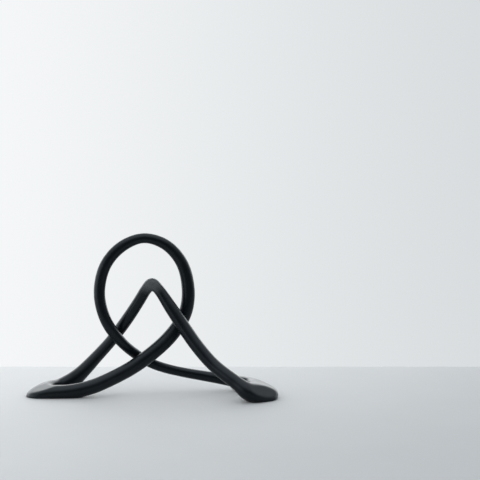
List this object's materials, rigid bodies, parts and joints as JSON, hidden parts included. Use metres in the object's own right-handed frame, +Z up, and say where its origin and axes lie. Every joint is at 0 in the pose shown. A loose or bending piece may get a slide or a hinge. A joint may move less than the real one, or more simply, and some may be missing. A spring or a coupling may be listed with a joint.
{
  "type": "knot sculpture",
  "caption": "Free-standing table ornament of one closed satin black resin strand tied as a trefoil: an upright loop, a pointed arch through it and broad flattened feet.",
  "frame": {"origin": "on the table under the middle of the part's box", "axes": "+X to the right along the line through the two feet, +Y to the back, +Z up"},
  "size_m": [0.2988, 0.0986, 0.193],
  "materials": {
    "resin": "satin black coat with a slight blue cast over smooth hand-sanded resin",
    "putty": "sanded flush and coated with the resin",
    "steel": "plain drawn rod",
    "rubber": "dull black non-slip rubber"
  },
  "bodies": {
    "root": {"loop_casting": "resin", "loop_rod": "steel", "left_foot_casting": "resin", "left_foot_rod": "steel", "right_foot_casting": "resin", "right_foot_rod": "steel", "leg_joint_filler": "putty", "arch_joint_filler": "putty", "loop_joint_filler": "putty", "left_front_pad": "rubber", "left_back_pad": "rubber", "right_front_pad": "rubber", "right_back_pad": "rubber"}
  },
  "joints": []
}
